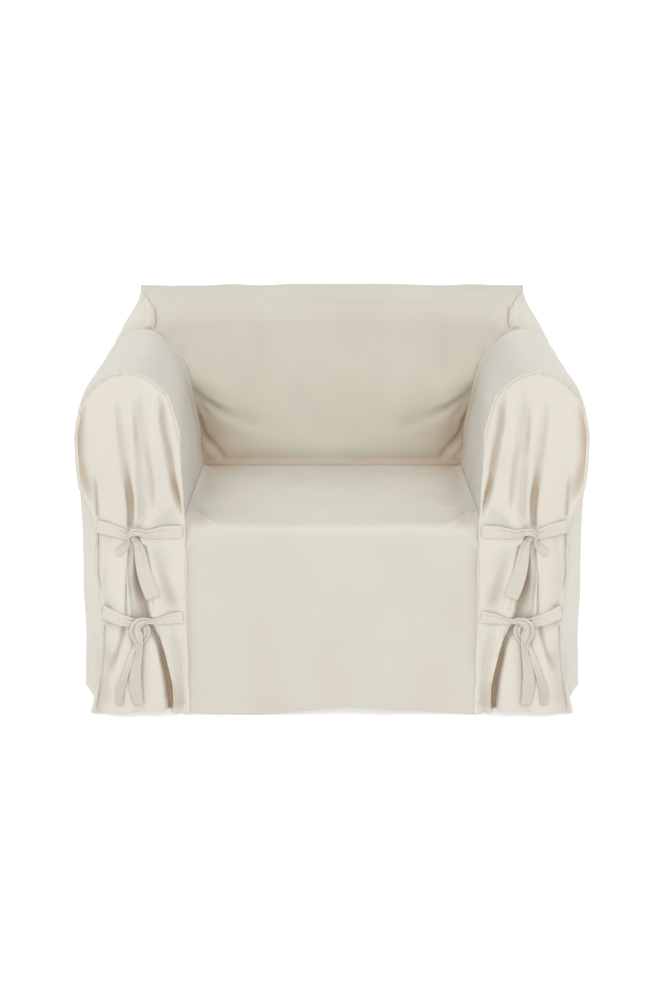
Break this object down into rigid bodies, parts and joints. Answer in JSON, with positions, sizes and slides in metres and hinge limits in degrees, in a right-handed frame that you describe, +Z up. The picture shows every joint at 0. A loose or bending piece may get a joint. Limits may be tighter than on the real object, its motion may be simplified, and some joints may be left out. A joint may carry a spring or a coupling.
{
  "type": "armchair slipcover",
  "caption": "Loose cotton armchair slipcover with wide rounded arms, softly gathered arm fronts drawn in by knotted tape ties, a low square back, a flat seat and a straight skirtless front.",
  "frame": {"origin": "on the floor, under the middle of the cover's bounding box", "axes": "+X to the right as seen from in front, -Y towards the front of the chair, +Z up"},
  "size_m": [1.054, 0.8953, 0.7858],
  "materials": {
    "cotton": "matte woven cotton",
    "tape": "matte woven cotton tape"
  },
  "bodies": {
    "root": {"seat_and_front": "cotton", "inside_back": "cotton", "outside_back": "cotton", "arm_panel_left": "cotton", "arm_panel_right": "cotton", "arm_front_left": "cotton", "arm_front_right": "cotton", "back_gusset_left": "cotton", "back_gusset_right": "cotton", "tie_upper_outer_left": "tape", "tie_upper_outer_right": "tape", "tie_upper_inner_left": "tape", "tie_upper_inner_right": "tape", "tie_lower_outer_left": "tape", "tie_lower_outer_right": "tape", "tie_lower_inner_left": "tape", "tie_lower_inner_right": "tape"}
  },
  "joints": []
}
